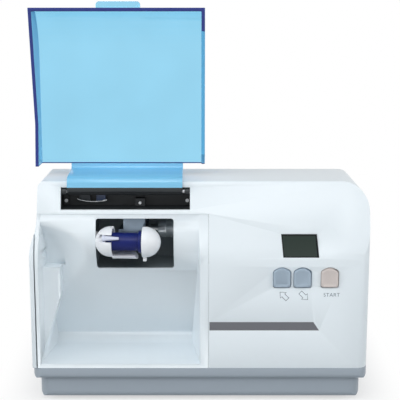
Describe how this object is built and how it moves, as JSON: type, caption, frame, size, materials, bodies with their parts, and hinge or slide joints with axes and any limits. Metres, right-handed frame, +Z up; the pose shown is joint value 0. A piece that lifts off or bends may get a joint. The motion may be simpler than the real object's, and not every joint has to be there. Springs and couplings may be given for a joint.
{
  "type": "dental amalgamator",
  "caption": "Bench-top capsule mixer with an open clear hood, mixing bay, vibrating capsule fork, display and key panel on a stepped base.",
  "frame": {"origin": "middle of the overall box at the foot pads' underside", "axes": "+X to the user's right, +Y to the back, +Z up; the bay, display and keys face -Y"},
  "size_m": [0.24, 0.2008, 0.2847],
  "materials": {
    "white_shell": "semi-gloss white moulding",
    "tray_plastic": "satin blue-grey moulding",
    "foot_rubber": "matt black",
    "steel": "plain steel",
    "chrome": "polished",
    "black_plastic": "matt black",
    "lid_clear": null,
    "fork_plastic": "white acetal",
    "arm_alloy": "cast and machined",
    "capsule_blue": "navy blue",
    "spout_clear": "milky clear plastic",
    "motor_paint": "dark grey",
    "lens_smoke": "dark display lens",
    "board_green": "circuit board",
    "key_blue": "blue-grey key",
    "key_beige": "warm grey key",
    "stripe_grey": "grey stripe",
    "core_yellow": "wound transformer"
  },
  "bodies": {
    "housing": {"upper_housing": "white_shell", "bay_liner": "white_shell", "base_tray": "tray_plastic", "rubber_feet": "foot_rubber", "case_screws": "steel", "slot_trough": "black_plastic", "hinge_brackets": "black_plastic", "bracket_screws": "steel", "hinge_pin": "steel", "window_shroud": "black_plastic", "motor_casing": "motor_paint", "motor_boss": "chrome", "motor_cap": "steel", "motor_feet": "steel", "chassis_plate": "steel", "chassis_dampers": "foot_rubber", "restraint_spring": "steel", "switch_body": "black_plastic", "display_lens": "lens_smoke", "display_module": "board_green", "control_board": "board_green", "board_posts": "white_shell", "panel_stripe": "stripe_grey", "power_board": "board_green", "transformer": "core_yellow", "power_inlet": "black_plastic", "fuse_drawer": "black_plastic", "power_frame": "black_plastic"},
    "lid": {"lid_hood": "lid_clear", "lid_strap": "lid_clear", "lid_handle": "lid_clear"},
    "fork": {"fork_arm": "arm_alloy", "arm_bearing": "steel", "fixed_cup": "fork_plastic", "fork_bed": "fork_plastic", "cup_spring": "steel", "capsule_body": "capsule_blue", "capsule_plunger": "capsule_blue", "capsule_nozzle": "spout_clear"},
    "jaw": {"sprung_cup": "fork_plastic"},
    "rotor": {"motor_shaft": "steel", "skew_hub": "steel", "fan_wheel": "black_plastic"},
    "up_key": {"key_up": "key_blue"},
    "down_key": {"key_down": "key_blue"},
    "start_key": {"key_start": "key_beige"},
    "mains_rocker": {"power_rocker": "black_plastic"},
    "lid_switch": {"switch_plunger": "fork_plastic"}
  },
  "joints": [
    {"name": "lid_hinge", "type": "hinge", "parent": "housing", "child": "lid", "pos_m": [0, -0.07376, 0.1522], "axis": [1, 0, 0], "range_deg": [0, 168]},
    {"name": "fork_swing", "type": "hinge", "parent": "housing", "child": "fork", "pos_m": [-0.04754, -0.04106, 0.118], "axis": [0, 0, 1], "range_deg": [0, 7.2], "stiffness_Nm_per_rad": 1, "deforming": ["restraint_spring"]},
    {"name": "cup_slide", "type": "slide", "parent": "fork", "child": "jaw", "axis": [0.998, -0.0628, 0], "range_m": [0, 0.0025], "stiffness_N_per_m": 900, "deforming": ["cup_spring"]},
    {"name": "shaft_spin", "type": "hinge", "parent": "housing", "child": "rotor", "pos_m": [-0.04754, -0.04106, 0.118], "axis": [1, 0, 0], "continuous": true},
    {"name": "up_press", "type": "slide", "parent": "housing", "child": "up_key", "axis": [0, 1, 0], "range_m": [0, 0.001], "stiffness_N_per_m": 600},
    {"name": "down_press", "type": "slide", "parent": "housing", "child": "down_key", "axis": [0, 1, 0], "range_m": [0, 0.001], "stiffness_N_per_m": 600},
    {"name": "start_press", "type": "slide", "parent": "housing", "child": "start_key", "axis": [0, 1, 0], "range_m": [0, 0.001], "stiffness_N_per_m": 600},
    {"name": "mains_rock", "type": "hinge", "parent": "housing", "child": "mains_rocker", "pos_m": [0.088, 0.09444, 0.051], "axis": [0, 0, 1], "range_deg": [0, 14]},
    {"name": "switch_press", "type": "slide", "parent": "housing", "child": "lid_switch", "axis": [0, 1, 0], "range_m": [0, 0.0012], "stiffness_N_per_m": 400}
  ]
}
